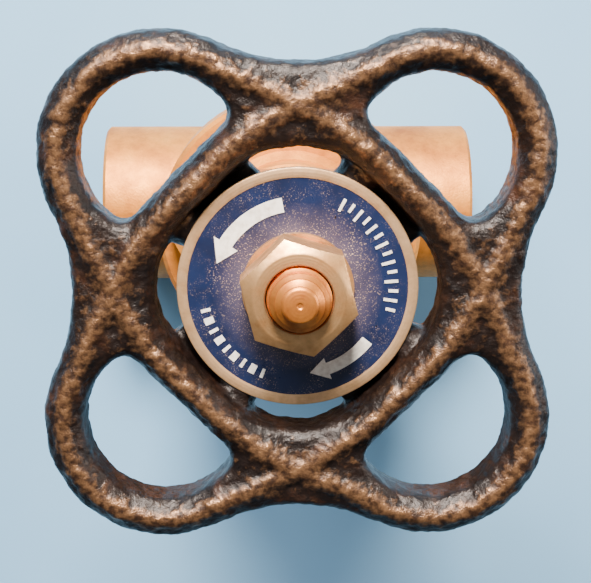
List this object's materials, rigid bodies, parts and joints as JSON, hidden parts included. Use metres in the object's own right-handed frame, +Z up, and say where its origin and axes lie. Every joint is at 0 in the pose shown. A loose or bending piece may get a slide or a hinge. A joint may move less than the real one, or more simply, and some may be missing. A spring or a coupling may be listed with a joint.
{
  "type": "gate valve",
  "caption": "Small bronze gate valve with solder sockets, a non-rising stem, a four-lobe cast handwheel and a round identification plate under its nut.",
  "frame": {"origin": "where the stem's axis crosses the axis of the pipe run", "axes": "+X along the pipe run out of the outlet socket, +Z up the stem to the handwheel, +Y completes the frame"},
  "size_m": [0.0628, 0.0628, 0.1078],
  "materials": {
    "cast_bronze": "matte as cast",
    "machined_bronze": "satin machined",
    "stem_bronze": "machined, tarnished",
    "wheel_iron": "rough cast, dark brown coating worn on the ridges",
    "plate_blue": "blue enamel with a bare border",
    "nut_metal": "plated, slightly tarnished",
    "packing": "matte fibre packing"
  },
  "bodies": {
    "valve_body": {"body": "cast_bronze", "bonnet": "cast_bronze", "stuffing_box": "machined_bronze", "packing_ring_lower": "packing", "packing_ring_middle": "packing", "packing_ring_upper": "packing", "packing_gland": "machined_bronze", "packing_nut": "machined_bronze"},
    "stem_and_wheel": {"stem": "stem_bronze", "handwheel": "wheel_iron", "identification_plate": "plate_blue", "wheel_washer": "nut_metal", "handwheel_nut": "nut_metal"},
    "gate": {"wedge": "cast_bronze"}
  },
  "joints": [
    {"name": "stem_turn", "type": "hinge", "parent": "valve_body", "child": "stem_and_wheel", "pos_m": [0, 0, 0.078], "axis": [0, 0, 1], "range_deg": [0, 2385]},
    {"name": "wedge_lift", "type": "slide", "parent": "valve_body", "child": "gate", "axis": [0, 0, 1], "range_m": [0, 0.02104]}
  ],
  "couplings": [
    {"joint": "wedge_lift", "follows": "stem_turn", "m_per_rad": 0.00050532}
  ]
}
